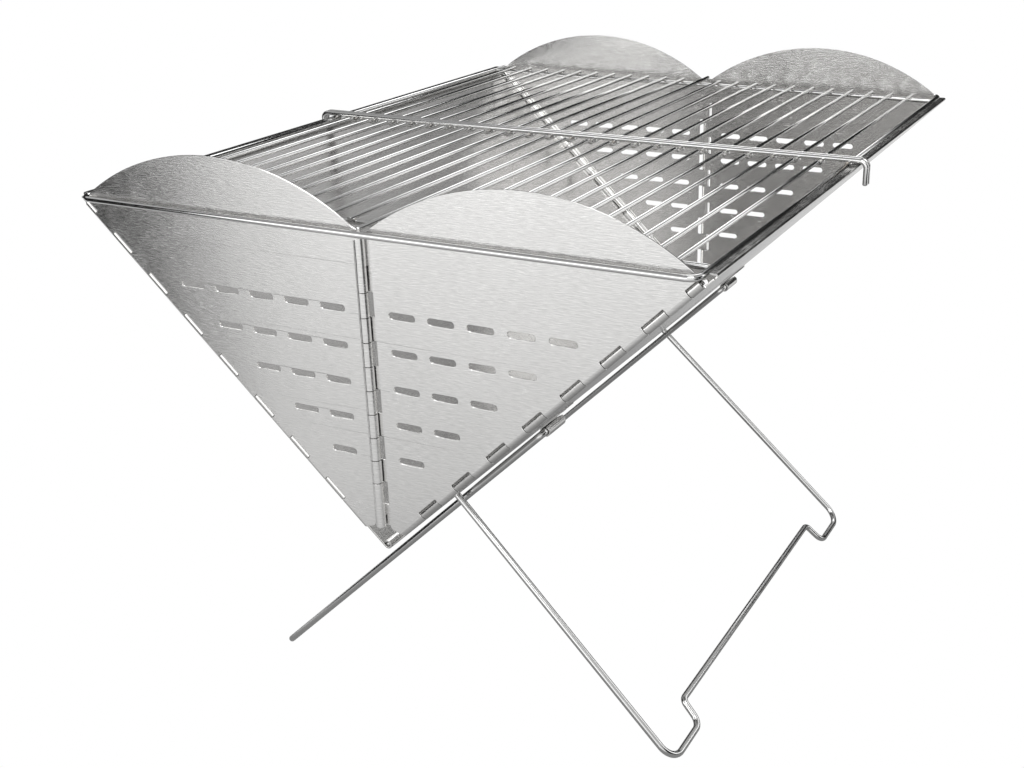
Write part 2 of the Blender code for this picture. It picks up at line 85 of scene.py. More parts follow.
# vents
SLOT_LENGTH = 15 * MM
SLOT_HEIGHT = 3.7 * MM
SLOT_FIRST_X = 20.2 * MM
SLOT_PITCH_X = 21.7 * MM
SLOT_FIRST_DROP = 41.3 * MM
SLOT_PITCH_Z = 19.3 * MM
SLOT_ROWS = 5
SLOT_END_STEPS = 10

# grate, heights from the rim
FRAME_WIRE_RADIUS = 1.6 * MM
CROSS_ROD_RADIUS = 1.5 * MM
BAR_RADIUS = 1.2 * MM
MIDDLE_ROD_RADIUS = 1.5 * MM
FRAME_WIRE_X = 172.5 * MM
FRAME_WIRE_Y = 230 * MM
FRAME_WIRE_Z = -1.7 * MM
FRAME_BEND = 6 * MM
BARS_PER_SIDE = 11
BAR_PITCH = 14.3 * MM
WELD_DEPTH = 0.35 * MM
CROSS_ROD_X = FRAME_WIRE_X - FRAME_WIRE_RADIUS
CROSS_ROD_Y = 211 * MM
BAR_TIP_Y = 215 * MM
BAR_OVERLAP = 0.2 * MM
BAR_CRANK_START = 9.5 * MM
BAR_CRANK_END = 4.8 * MM
BAR_CRANK_BEND = 5 * MM
MIDDLE_ROD_Y = 1.9 * MM
GRATE_GAP = 1.2 * MM
HOOK_X = 183.4 * MM
HOOK_DROP = 12 * MM
HOOK_BEND = 4 * MM

# weld beads: half sizes along x, y and z, and where the seeds of their shapes start
BEAD_UNEVENNESS = 0.16
BAR_BEAD, BAR_BEAD_SEED = (1.55 * MM, 1.5 * MM, 0.75 * MM), 0
HOOK_BEAD, HOOK_BEAD_SEED = (1.25 * MM, 1.35 * MM, 0.7 * MM), 40
ROD_END_BEAD, ROD_END_BEAD_SEED = (0.9 * MM, 1.7 * MM, 1.2 * MM), 80
WIRE_END_BEAD, WIRE_END_BEAD_SEED = (1.5 * MM, 1.4 * MM, 0.7 * MM), 90
MIDDLE_BAR_BEAD, MIDDLE_BAR_BEAD_SEED = (1.4 * MM, 0.9 * MM, 1.0 * MM), 99
SPOT_WELD, SPOT_WELD_SEED = (1.7 * MM, 0.22 * MM, 1.7 * MM), 7
BAR_BEAD_DROP = BAR_RADIUS * 0.75
HOOK_BEAD_Z = 0.15 * MM
WIRE_END_BEAD_Z = 0.1 * MM
MIDDLE_BAR_BEAD_Z = -0.6 * MM

# legs
LEG_WIRE_RADIUS = 2.0 * MM
LEG_AXIS_OFFSET = 6.0 * MM
LEG_REACH = 196 * MM
FOOT_RISE = 16.5 * MM
FOOT_LEAN = 3 * MM
LEG_BENDS = [4 * MM, 11 * MM, 7 * MM, 4 * MM]
BARREL_SPARE = 6 * MM
# pivot's distance up the slope, middle along the length, half span, flare and foot width
LEFT_LEG = (76 * MM, 2.5 * MM, 147 * MM, 15.5 * MM, 40 * MM)
RIGHT_LEG = (60 * MM, 1.5 * MM, 140.5 * MM, 13 * MM, 26 * MM)

# leg brackets
BRACKET_WIDTH = 19 * MM
BRACKET_TAB = 14 * MM
BRACKET_INNER_RADIUS = 2.3 * MM
BRACKET_SHEET = 0.9 * MM
BRACKET_ROLL = math.radians(300)
BRACKET_INSET = 4.5 * MM
BRACKET_STEPS = 40
BRACKET_BEVEL = 0.12 * MM
SPOT_WELD_X = BRACKET_TAB * 0.62
SPOT_WELD_SINK = 0.05 * MM
SPOT_WELD_REACH = 5 * MM

SLOPE = math.atan2(PIN_HALF_WIDTH, PIN_DEPTH)
SIN, COS = math.sin(SLOPE), math.cos(SLOPE)
PANEL_SLANT = math.hypot(PIN_HALF_WIDTH, PIN_DEPTH)
RIM_Z = PIN_DEPTH + LEG_REACH * COS + LEG_AXIS_OFFSET * SIN + LEG_WIRE_RADIUS
CORNER_PIN_Y = LENGTH / 2 - CORNER_OFFSET
CENTRE_PIN_Y = LENGTH / 2 - SHEET + CENTRE_OFFSET

HALF_TURN = Matrix.Rotation(math.pi, 4, "Z")
UNTURNED = Matrix.Identity(4)

# a fold sharper than this is a hard edge, in degrees
SHEET_CREASE = 20
WIRE_CREASE = 50
BEAD_CREASE = 60
# a sheet's face is flat shaded when it is larger than this, or as good as parallel to the largest one
FLAT_AREA = 20 * MM ** 2
FLAT_COSINE = 0.9995
SLIVER_WIDTH = 0.003 * MM
SHORTEST_EDGE = 0.01 * MM
SAME_POINT = 1e-6
ON_LINE = 1e-7
STRAIGHT = 1e-4
BEVEL_SEGMENTS = 2
BEVEL_ANGLE = math.radians(50)


def frame_matrix(origin, x_axis, y_axis):
    """The frame at origin with these x and y directions."""
    x = Vector(x_axis).normalized()
    y = Vector(y_axis).normalized()
    rotation = Matrix((x, y, x.cross(y))).transposed().to_4x4()
    return Matrix.Translation(origin) @ rotation


# ---- materials ----------------------------------------------------------------------------------------

GRAIN_DEPTH = 0.1 * MM
NOISE_LOW, NOISE_HIGH = 0.3, 0.7
TONE_RANGE = 0.25
BROAD_TONE = 0.03
GRAIN_ROUGHNESS = 0.04
SMUDGE_ROUGHNESS = 0.07
SMUDGE_LOW, SMUDGE_HIGH = 0.45, 0.75
STAIN_LOW, STAIN_HIGH, STAIN_MOST = 0.48, 0.7, 0.6
BROAD_SCALE = (9, 9, 9)
WAVE_SCALE = (11, 11, 11)
SMUDGE_SCALE = (55, 55, 55)
STAIN_SCALE = (120, 120, 120)
MIX_FACTOR, MIX_FIRST, MIX_SECOND, MIX_COLOUR = 0, 6, 7, 2


def steel(name, base, roughness, grain, grain_tone=0.04, grain_bump=0.05, wave=0.0, tint=None):
    """Steel with a fine grain, squeezed by the grain scales, and with broad tone changes and smudges."""
    material = bpy.data.materials.new(name)
    material.use_nodes = True
    nodes, links = material.node_tree.nodes, material.node_tree.links
    shader = nodes["Principled BSDF"]
    shader.inputs["Metallic"].default_value = 1.0
    coords = nodes.new("ShaderNodeTexCoord")

    def noise_at(scale, detail, noise_roughness=0.6):
        mapping = nodes.new("ShaderNodeMapping")
        mapping.inputs["Scale"].default_value = scale
        links.new(coords.outputs["Object"], mapping.inputs["Vector"])
        texture = nodes.new("ShaderNodeTexNoise")
        texture.inputs["Scale"].default_value = 1.0
        texture.inputs["Detail"].default_value = detail
        texture.inputs["Roughness"].default_value = noise_roughness
        links.new(mapping.outputs["Vector"], texture.inputs["Vector"])
        return texture.outputs["Fac"]

    def ranged(value, low, high, to_low, to_high):
        node = nodes.new("ShaderNodeMapRange")
        node.inputs["From Min"].default_value = low
        node.inputs["From Max"].default_value = high
        node.inputs["To Min"].default_value = to_low
        node.inputs["To Max"].default_value = to_high
        links.new(value, node.inputs["Value"])
        return node.outputs["Result"]

    def maths(operation, a, b):
        node = nodes.new("ShaderNodeMath")
        node.operation = operation
        for socket, value in zip(node.inputs, (a, b)):
            if isinstance(value, (int, float)):
                socket.default_value = value
            else:
                links.new(value, socket)
        return node.outputs["Value"]

    fine = noise_at(grain, 3.0)
    broad = noise_at(BROAD_SCALE, 2.0)
    smudge = noise_at(SMUDGE_SCALE, 4.0, 0.7)

    tone = maths("ADD", ranged(fine, NOISE_LOW, NOISE_HIGH, -grain_tone, grain_tone),
                 ranged(broad, NOISE_LOW, NOISE_HIGH, -BROAD_TONE, BROAD_TONE))
    mix = nodes.new("ShaderNodeMix")
    mix.data_type = "RGBA"
    dark = [c * (1 - TONE_RANGE) for c in base]
    light = [min(1.0, c * (1 + TONE_RANGE)) for c in base]
    mix.inputs[MIX_FIRST].default_value = (*dark, 1)
    mix.inputs[MIX_SECOND].default_value = (*light, 1)
    links.new(maths("ADD", maths("MULTIPLY", tone, 0.5 / TONE_RANGE), 0.5), mix.inputs[MIX_FACTOR])
    colour = mix.outputs[MIX_COLOUR]
    if tint:
        patches = noise_at(STAIN_SCALE, 3.0)
        stained = nodes.new("ShaderNodeMix")
        stained.data_type = "RGBA"
        stained.inputs[MIX_SECOND].default_value = (*tint, 1)
        links.new(colour, stained.inputs[MIX_FIRST])
        links.new(ranged(patches, STAIN_LOW, STAIN_HIGH, 0.0, STAIN_MOST), stained.inputs[MIX_FACTOR])
        colour = stained.outputs[MIX_COLOUR]
    links.new(colour, shader.inputs["Base Color"])

    rough = maths("ADD", ranged(fine, NOISE_LOW, NOISE_HIGH, roughness - GRAIN_ROUGHNESS,
                                roughness + GRAIN_ROUGHNESS),
                  ranged(smudge, SMUDGE_LOW, SMUDGE_HIGH, 0.0, SMUDGE_ROUGHNESS))
    links.new(rough, shader.inputs["Roughness"])

    bump = nodes.new("ShaderNodeBump")
    bump.inputs["Strength"].default_value = grain_bump
    bump.inputs["Distance"].default_value = GRAIN_DEPTH
    links.new(fine, bump.inputs["Height"])
    if wave:
        waves = nodes.new("ShaderNodeBump")
        waves.inputs["Strength"].default_value = 1.0
        waves.inputs["Distance"].default_value = wave
        links.new(noise_at(WAVE_SCALE, 1.0), waves.inputs["Height"])
        links.new(waves.outputs["Normal"], bump.inputs["Normal"])
    links.new(bump.outputs["Normal"], shader.inputs["Normal"])
    return material


SHEET_WAVE = 0.2 * MM
BRIGHT_STEEL = (0.68, 0.68, 0.675)
END_SHEET = steel("brushed_end_sheet", (0.8, 0.795, 0.785), 0.2, grain=(190, 1700, 190), grain_tone=0.08,
                  grain_bump=0.65, wave=SHEET_WAVE)
SIDE_SHEET = steel("brushed_side_sheet", (0.62, 0.615, 0.605), 0.19, grain=(160, 1700, 160), grain_tone=0.07,
                   grain_bump=0.45, wave=SHEET_WAVE)
PIN_STEEL = steel("hinge_pin_steel", (0.55, 0.55, 0.54), 0.28, grain=(900, 900, 60))
STRAP_STEEL = steel("bracket_strap_steel", (0.66, 0.655, 0.645), 0.2, grain=(70, 70, 1200), grain_bump=0.12)
WIRE_STEEL = steel("drawn_bright_wire", BRIGHT_STEEL, 0.12, grain=(1200, 60, 1200), grain_tone=0.02,
                   grain_bump=0.03)
ROD_STEEL = steel("drawn_bright_rod", BRIGHT_STEEL, 0.13, grain=(60, 1200, 1200), grain_tone=0.02,
                  grain_bump=0.03)
LEG_STEEL = steel("drawn_leg_wire", BRIGHT_STEEL, 0.14, grain=(500, 90, 500), grain_tone=0.025,
                  grain_bump=0.03)
WELD_STEEL = steel("spot_weld_steel", (0.72, 0.71, 0.69), 0.3, grain=(900, 900, 900), grain_tone=0.08,
                   grain_bump=0.3, tint=(0.42, 0.36, 0.30))


# ---- shapes -------------------------------------------------------------------------------------------

def arc(centre, radius, start, end, steps):
    """Points on a circle, from the start angle to the end angle."""
    points = []
    for i in range(steps + 1):
        angle = start + (end - start) * i / steps
        points.append((centre[0] + radius * math.cos(angle), centre[1] + radius * math.sin(angle)))
    return points


def filleted(corners, radii, steps=10):
    """A path through the corners, each inner corner rounded with its own radius."""
    points = [Vector(corners[0])]
    for before, corner, after, radius in zip(corners, corners[1:], corners[2:], radii):
        corner = Vector(corner)
        back = (Vector(before) - corner).normalized()
        ahead = (Vector(after) - corner).normalized()
        half = back.angle(ahead) / 2
        centre = corner + (back + ahead).normalized() * radius / math.sin(half)
        first = corner + back * radius / math.tan(half) - centre
        last = corner + ahead * radius / math.tan(half) - centre
        sweep = first.angle(last)
        for i in range(steps + 1):
            t = i / steps
            mixed = first * math.sin((1 - t) * sweep) + last * math.sin(t * sweep)
            points.append(centre + mixed / math.sin(sweep))
    points.append(Vector(corners[-1]))
    return points


def plain_plate(outline, thickness, level=0.0):
    """A flat plate without holes in the local XY plane, one face on each side."""
    bm = bmesh.new()
    low = [bm.verts.new((x, y, level - thickness / 2)) for x, y in outline]
    high = [bm.verts.new((x, y, level + thickness / 2)) for x, y in outline]
    bm.faces.new(low)
    bm.faces.new(high)
    for i in range(len(outline)):
        bm.faces.new((low[i - 1], low[i], high[i], high[i - 1]))
    bmesh.ops.recalc_face_normals(bm, faces=bm.faces)
    return bm


def plate_mesh(outlines, thickness, level=0.0):
    """A flat plate in the local XY plane: the first outline is its edge and the others are its holes."""
    curve = bpy.data.curves.new("plate", "CURVE")
    curve.dimensions = "2D"
    curve.fill_mode = "BOTH"
    curve.extrude = thickness / 2
    for outline in outlines:
        spline = curve.splines.new("POLY")
        spline.points.add(len(outline) - 1)
        for point, (x, y) in zip(spline.points, outline):
            point.co = (x, y, 0, 1)
        spline.use_cyclic_u = True
    obj = bpy.data.objects.new("plate", curve)
    bpy.context.scene.collection.objects.link(obj)
    mesh = bpy.data.meshes.new_from_object(obj.evaluated_get(bpy.context.evaluated_depsgraph_get()))
    bpy.data.objects.remove(obj, do_unlink=True)
    bm = bmesh.new()
    bm.from_mesh(mesh)
    bmesh.ops.remove_doubles(bm, verts=bm.verts, dist=SAME_POINT)
    bmesh.ops.recalc_face_normals(bm, faces=bm.faces)
    bmesh.ops.translate(bm, verts=bm.verts, vec=(0, 0, level))
    return bm


def bend(bm, origin, ahead, towards, radius, angle, cuts):
    """Rolls the part of the sheet ahead of origin, round a centre at radius in the towards direction."""
    origin, ahead, towards = Vector(origin), Vector(ahead).normalized(), Vector(towards).normalized()
    for i in range(cuts + 1):
        place = origin + ahead * (radius * angle * i / cuts)
        bmesh.ops.bisect_plane(bm, geom=bm.verts[:] + bm.edges[:] + bm.faces[:], dist=ON_LINE,
                               plane_co=place, plane_no=ahead)
    for vert in bm.verts:
        offset = vert.co - origin
        s, h = offset.dot(ahead), offset.dot(towards)
        if s <= ON_LINE:
            continue
        turn = min(s / radius, angle)
        rest = s - radius * turn
        foot = vert.co - ahead * s - towards * h
        reach = radius - h
        vert.co = (foot + towards * (radius - reach * math.cos(turn)) + ahead * (reach * math.sin(turn))
                   + (ahead * math.cos(turn) + towards * math.sin(turn)) * rest)


def without_slivers(bm):
    """Joins each needle-thin face to its neighbour across its longest edge."""
    longest = {}
    for face in bm.faces:
        edge = max(face.edges, key=lambda side: side.calc_length())
        if face.calc_area() < SLIVER_WIDTH * edge.calc_length():
            longest[edge] = True
    # a dict keeps the order of the faces, so each run dissolves in the same order
    bmesh.ops.dissolve_edges(bm, edges=list(longest), use_verts=False)


def shade(mesh, degrees, has_flats):
    """Smooth shading, with hard edges kept and a sheet's big flats shaded flat."""
    mesh.shade_smooth()
    mesh.set_sharp_from_angle(angle=math.radians(degrees))
    if not has_flats:
        return
    main = max(mesh.polygons, key=lambda face: face.area).normal.copy()
    for face in mesh.polygons:
        if face.area > FLAT_AREA or abs(face.normal.dot(main)) > FLAT_COSINE:
            face.use_smooth = False


def add_piece(name, mesh, material, body, nodes, matrix=UNTURNED, bevel=0.0, degrees=SHEET_CREASE):
    """A piece in place, on its CAD body, standing for its CAD nodes. A sheet has a bevel."""
    mesh.name = name
    mesh.materials.clear()
    mesh.materials.append(material)
    obj = bpy.data.objects.new(name, mesh)
    bpy.context.scene.collection.objects.link(obj)
    obj.matrix_world = matrix
    if bevel:
        modifier = obj.modifiers.new("edge", "BEVEL")
        modifier.width = bevel
        modifier.segments = BEVEL_SEGMENTS
        modifier.limit_method = "ANGLE"
        modifier.angle_limit = BEVEL_ANGLE
        modifier.use_clamp_overlap = False
        bpy.context.view_layer.update()
        evaluated = obj.evaluated_get(bpy.context.evaluated_depsgraph_get())
        finished = bpy.data.meshes.new_from_object(evaluated)
        obj.modifiers.clear()
        bm = bmesh.new()
        bm.from_mesh(finished)
        bmesh.ops.dissolve_degenerate(bm, dist=SHORTEST_EDGE, edges=bm.edges)
        without_slivers(bm)
        bm.to_mesh(finished)
        bm.free()
        obj.data = finished
        finished.name = name
    shade(obj.data, degrees, bool(bevel))
    if nodes:
        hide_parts(*nodes)
    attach(obj, body)


def to_mesh(bm):
    """The built shape as a mesh."""
    mesh = bpy.data.meshes.new("mesh")
    bm.to_mesh(mesh)
    bm.free()
    return mesh


DOME_ANGLES = (math.radians(70), math.radians(45), math.radians(20))
DOME_TIP = 0.45


def sweep_tube(bm, path, radius, sides=20, dome=0.35):
    """A round wire along the path, its cut ends domed by this share of the radius."""
    points = [Vector(path[0])]
    for point in path[1:]:
        if (Vector(point) - points[-1]).length > SAME_POINT:
            points.append(Vector(point))
    tangents = []
    for i in range(len(points)):
        before = points[max(0, i - 1)]
        after = points[min(len(points) - 1, i + 1)]
        tangents.append((after - before).normalized())
    normal = tangents[0].orthogonal().normalized()
    rings = []

    def ring(centre, tangent, size):
        side = tangent.cross(normal)
        verts = []
        for k in range(sides):
            a = 2 * math.pi * k / sides
            verts.append(bm.verts.new(centre + (normal * math.cos(a) + side * math.sin(a)) * size))
        rings.append(verts)

    sizes = [radius * DOME_TIP] + [radius * math.cos(a) for a in DOME_ANGLES[1:]]
    domes = list(zip(DOME_ANGLES, sizes))
    for a, size in domes:
        ring(points[0] + tangents[0] * dome * radius * (1 - math.sin(a)), tangents[0], size)
    for i, (point, tangent) in enumerate(zip(points, tangents)):
        normal = (normal - tangent * normal.dot(tangent)).normalized()
        shift = 0.0
        if i == 0:
            shift = dome * radius
        elif i == len(points) - 1:
            shift = -dome * radius
        ring(point + tangent * shift, tangent, radius)
    for a, size in reversed(domes):
        ring(points[-1] - tangents[-1] * dome * radius * (1 - math.sin(a)), tangents[-1], size)
    for lower, upper in zip(rings, rings[1:]):
        for k in range(sides):
            n = (k + 1) % sides
            bm.faces.new((lower[k], lower[n], upper[n], upper[k]))
    bm.faces.new(list(reversed(rings[0])))
    bm.faces.new(rings[-1])


def blob(bm, centre, size, seed):
    """A small uneven weld bead, with these half sizes."""
    made = bmesh.ops.create_icosphere(bm, subdivisions=2, radius=1.0)
    for vert in made["verts"]:
        swell = 1 + BEAD_UNEVENNESS * noise.noise(vert.co * 1.7 + Vector((seed * 3.1, seed * 1.7, seed)))
        vert.co = Vector((vert.co.x * size[0], vert.co.y * size[1], vert.co.z * size[2])) * swell
        vert.co += Vector(centre)


# ---- hinge spans --------------------------------------------------------------------------------------

def corner_knuckles(of_end_panel):
    """Where the end panel's or the side panel's knuckles start and stop, down the slope from the rim."""
    first = 0 if of_end_panel else 1
    spans = [] if of_end_panel else [(SHORT_KNUCKLE_START, CORNER_START - FIT / 2)]
    for i in range(first, CORNER_KNUCKLES, 2):
        start = CORNER_START + i * CORNER_PITCH
        spans.append((start + FIT / 2, start + CORNER_PITCH - FIT / 2))
    return spans


def centre_knuckles(first):
    """Every second knuckle of an upright hinge, down from the rim."""
    spans = []
    for i in range(first, CENTRE_KNUCKLES, 2):
        start = CENTRE_START + i * CENTRE_PITCH
        spans.append((start + FIT / 2, start + CENTRE_PITCH - FIT / 2))
    return spans


def bottom_knuckles(first):
    """Every second knuckle of the bottom hinge, along the length from the grill's middle."""
    pitch = 2 * CORNER_PIN_Y / BOTTOM_KNUCKLES
    spans = []
    for i in range(first, BOTTOM_KNUCKLES, 2):
        start = -CORNER_PIN_Y + i * pitch
        spans.append((start + FIT / 2, start + pitch - FIT / 2))
    return spans


CORNER_ROLL_RADIUS = CORNER_OFFSET - SHEET / 2
CENTRE_ROLL_RADIUS = CENTRE_OFFSET - SHEET / 2
CORNER_ROLL = CORNER_ROLL_RADIUS * ROLL
CENTRE_ROLL = CENTRE_ROLL_RADIUS * ROLL


# ---- end panels ---------------------------------------------------------------------------------------

def on_slant(side, down, inwards):
    """A point on the line of the corner pins, down the slope from the rim, in the end panel's x and y."""
    x = PIN_HALF_WIDTH - down * SIN - inwards * COS
    z = -down * COS + inwards * SIN
    return side * x, z


SHARPEST_EASED = 0.2
BLUNTEST_EASED = math.radians(150)
LONGEST_CUT = 0.45
EASE_STEPS = 3


def eased(points, radius):
    """The closed outline with its square corners rounded a little. Both copies of a repeated point go."""
    result = []
    count = len(points)
    for i, corner in enumerate(points):
        corner = Vector(corner)
        back = Vector(points[i - 1]) - corner
        ahead = Vector(points[(i + 1) % count]) - corner
        if back.length < ON_LINE or ahead.length < ON_LINE:
            continue
        angle = back.angle(ahead)
        cut = 0
        if SHARPEST_EASED < angle <= BLUNTEST_EASED:
            cut = radius / math.tan(angle / 2)
        if not 0 < cut <= min(back.length, ahead.length) * LONGEST_CUT:
            result.append(tuple(corner))
            continue
        first = corner + back.normalized() * cut
        last = corner + ahead.normalized() * cut
        for k in range(EASE_STEPS + 1):
            t = k / EASE_STEPS
            result.append(tuple(first * (1 - t) ** 2 + corner * 2 * t * (1 - t) + last * t ** 2))
    return result


def without_spikes(points):
    """The closed outline without its repeated, straight and doubled-back points."""
    kept = [Vector(point) for point in points]
    i = 0
    while i < len(kept):
        back = kept[i - 1] - kept[i]
        ahead = kept[(i + 1) % len(kept)] - kept[i]
        if abs(back.cross(ahead)) <= STRAIGHT * max(back.length * ahead.length, 1e-9):
            del kept[i]
            i = max(0, i - 2)
        else:
            i += 1
    return kept


def eased_run(points, radius):
    """The corners inside an open run of points, eased. Its first and last point only steer the others."""
    return eased([points[0]] + points + [points[-1]], radius)


def slot_outline(x, z):
    """A vent: a slot with round ends."""
    radius = SLOT_HEIGHT / 2
    reach = SLOT_LENGTH / 2 - radius
    right = arc((x + reach, z), radius, -math.pi / 2, math.pi / 2, SLOT_END_STEPS)
    left = arc((x - reach, z), radius, math.pi / 2, 3 * math.pi / 2, SLOT_END_STEPS)
    return right + left


def end_panel_mesh(side, first_centre_knuckle):
    """An end panel in the front's frame: x across, y up from the rim, z outwards from the grill's middle."""
    half = (SCALLOP_OUTER_X - SCALLOP_INNER_X) / 2
    radius = (half ** 2 + SCALLOP_HEIGHT ** 2) / (2 * SCALLOP_HEIGHT)
    middle = (SCALLOP_OUTER_X + SCALLOP_INNER_X) / 2
    opening = math.asin(half / radius)
    level = SCALLOP_END_RISE + SCALLOP_HEIGHT - radius
    top = arc((middle, level), radius, math.pi / 2 + opening, math.pi / 2 - opening, SCALLOP_STEPS)

    edge = [(side * SCALLOP_OUTER_X, -WIRE_NOTCH_DEPTH)]
    edge.append(on_slant(side, (WIRE_NOTCH_DEPTH + END_CLEARANCE * SIN) / COS, END_CLEARANCE))
    for start, end in corner_knuckles(True):
        edge += [on_slant(side, start, END_CLEARANCE), on_slant(side, start, -CORNER_ROLL)]
        edge += [on_slant(side, end, -CORNER_ROLL), on_slant(side, end, END_CLEARANCE)]
    toe = arc((CENTRE_CLEARANCE + TOE_ROUND, -TOE_DROP + TOE_ROUND), TOE_ROUND, -math.pi / 2, -math.pi,
              TOE_STEPS)
    inner = []
    for start, end in reversed(centre_knuckles(first_centre_knuckle)):
        inner += [(side * CENTRE_CLEARANCE, -end), (-side * CENTRE_ROLL, -end)]
        inner += [(-side * CENTRE_ROLL, -start), (side * CENTRE_CLEARANCE, -start)]
    outline = [(side * x, z) for x, z in top] + eased_run(edge, SLANT_TAB_ROUND)
    outline += [(side * x, z) for x, z in toe] + eased_run(inner, CENTRE_TAB_ROUND)

    holes = []
    for row in range(SLOT_ROWS):
        for column in range(SLOT_ROWS - row):
            holes.append(slot_outline(side * (SLOT_FIRST_X + column * SLOT_PITCH_X),
                                      -SLOT_FIRST_DROP - row * SLOT_PITCH_Z))
    mid = LENGTH / 2 - SHEET / 2
    bm = plate_mesh([outline] + holes, SHEET, mid)
    x, y = on_slant(side, 0, 0)
    bend(bm, (x, y, mid), (side * COS, -SIN, 0), (0, 0, -1), CORNER_ROLL_RADIUS, ROLL, ROLL_CUTS)
    bend(bm, (0, 0, mid), (-side, 0, 0), (0, 0, 1), CENTRE_ROLL_RADIUS, ROLL, ROLL_CUTS)
    return to_mesh(bm)


def build_end_panels():
    """Two mirrored panels at the front, and the same two turned for the rear."""
    front = frame_matrix((0, 0, RIM_Z), (1, 0, 0), (0, 0, 1))
    for end, turn in (("front", UNTURNED), ("rear", HALF_TURN)):
        for side, first_knuckle in ((-1, 0), (1, 1)):
            is_left = (side < 0) == (end == "front")
            node = f"{end}_{'left' if is_left else 'right'}_end_panel"
            add_piece(f"{node}_sheet", end_panel_mesh(side, first_knuckle), END_SHEET,
                      "trough", [node], turn @ front, bevel=SHEET_BEVEL)


# ---- side panels --------------------------------------------------------------------------------------

BOTTOM_FIRST = 1


def by_owner(own, others):
    """The panel's own knuckles and the ones it makes room for, in order along the hinge."""
    return sorted([(start, stop, True) for start, stop in own]
                  + [(start, stop, False) for start, stop in others])


def side_panel_mesh():
    """The right side panel in its own frame: x along the length, y up the slope, z outwards."""
    end = CORNER_PIN_Y
    level = CORNER_OFFSET - SHEET / 2

    # the flange: the sheet runs on up the slope before it is folded level and inwards
    fold = SLOPE + math.pi / 2
    centre_out = level - FLANGE_BEND
    centre_z = -FLANGE_DROP - FLANGE_BEND - SHEET / 2
    bend_at = (centre_z + PIN_DEPTH + centre_out * SIN) / COS
    centre_x = bend_at * SIN + centre_out * COS
    flat = bend_at + FLANGE_BEND * fold + centre_x - FLANGE_INNER_X
    reach = end - SIDE_CLEARANCE
    neck = bend_at - FLANGE_NECK
    flange = [(reach, neck), (reach, flat), (-reach, flat), (-reach, neck)]

    front = [(-end, neck)]
    for start, stop, is_own in by_owner(corner_knuckles(False), corner_knuckles(True)):
        if is_own:
            out = -end - CORNER_ROLL
            front += [(-end, PANEL_SLANT - start), (out, PANEL_SLANT - start)]
            front += [(out, PANEL_SLANT - stop), (-end, PANEL_SLANT - stop)]
        else:
            back = -end + SIDE_CLEARANCE
            front += [(-end, PANEL_SLANT - start + FIT), (back, PANEL_SLANT - start + FIT)]
            front += [(back, PANEL_SLANT - stop - FIT), (-end, PANEL_SLANT - stop - FIT)]
    bottom = []
    for start, stop, is_own in by_owner(bottom_knuckles(BOTTOM_FIRST), bottom_knuckles(1 - BOTTOM_FIRST)):
        if is_own:
            bottom += [(start, 0), (start, -CORNER_ROLL), (stop, -CORNER_ROLL), (stop, 0)]
        else:
            left, right = max(-end, start - FIT), min(end, stop + FIT)
            bottom += [(left, 0), (left, SIDE_CLEARANCE), (right, SIDE_CLEARANCE), (right, 0)]
    rear = [(-x, y) for x, y in reversed(front)]

    outline = without_spikes(front + bottom + rear + flange)
    bm = plain_plate(eased(outline, SIDE_TAB_ROUND), SHEET, level)
    for sign in (-1, 1):
        bend(bm, (sign * end, 0, level), (sign, 0, 0), (0, 0, -1), CORNER_ROLL_RADIUS, ROLL, ROLL_CUTS)
    bend(bm, (0, 0, level), (0, -1, 0), (0, 0, -1), CORNER_ROLL_RADIUS, ROLL, ROLL_CUTS)
    bend(bm, (0, bend_at, level), (0, 1, 0), (0, 0, -1), FLANGE_BEND, fold, FLANGE_CUTS)
    return to_mesh(bm)


def side_panel_frame():
    """The right side panel's frame, with its origin on the bottom pin."""
    return frame_matrix((0, 0, RIM_Z - PIN_DEPTH), (0, 1, 0), (SIN, 0, COS))


def build_side_panels():
    """The right side panel, and the same one turned for the left."""
    for name, turn in (("right", UNTURNED), ("left", HALF_TURN)):
        add_piece(f"{name}_side_panel_sheet", side_panel_mesh(), SIDE_SHEET, "trough",
                  [f"{name}_side_panel"], turn @ side_panel_frame(), bevel=SHEET_BEVEL)


# ---- pins ---------------------------------------------------------------------------------------------

def build_pin(node, start, end, radius):
    """A straight hinge pin."""
    bm = bmesh.new()
    start, end = Vector(start), Vector(end)
    sweep_tube(bm, [start, start.lerp(end, 0.5), end], radius, dome=0.5)
    add_piece(f"{node}_rod", to_mesh(bm), PIN_STEEL, "trough", [node], degrees=WIRE_CREASE)


def build_pins():
    """The bottom pin, two upright ones and four in the corners."""
    bottom_z = RIM_Z - PIN_DEPTH
    reach = CORNER_PIN_Y - FIT
    build_pin("bottom_hinge_pin", (0, -reach, bottom_z), (0, reach, bottom_z), CORNER_PIN_RADIUS)
    centre_low = CENTRE_START + CENTRE_KNUCKLES * CENTRE_PITCH
    corner_low = CORNER_START + CORNER_KNUCKLES * CORNER_PITCH
    for end, sign in (("front", -1), ("rear", 1)):
        y = sign * CENTRE_PIN_Y
        build_pin(f"{end}_centre_hinge_pin", (0, y, RIM_Z - CENTRE_START + FIT),
                  (0, y, RIM_Z - centre_low - FIT), CENTRE_PIN_RADIUS)
        for name, side in (("left", -1), ("right", 1)):
            ends = []
            for down in (SHORT_KNUCKLE_START, corner_low + FIT):
                x, z = on_slant(side, down, 0)
                ends.append((x, sign * CORNER_PIN_Y, RIM_Z + z))
            build_pin(f"{end}_{name}_corner_hinge_pin", *ends, CORNER_PIN_RADIUS)


# ---- grate --------------------------------------------------------------------------------------------

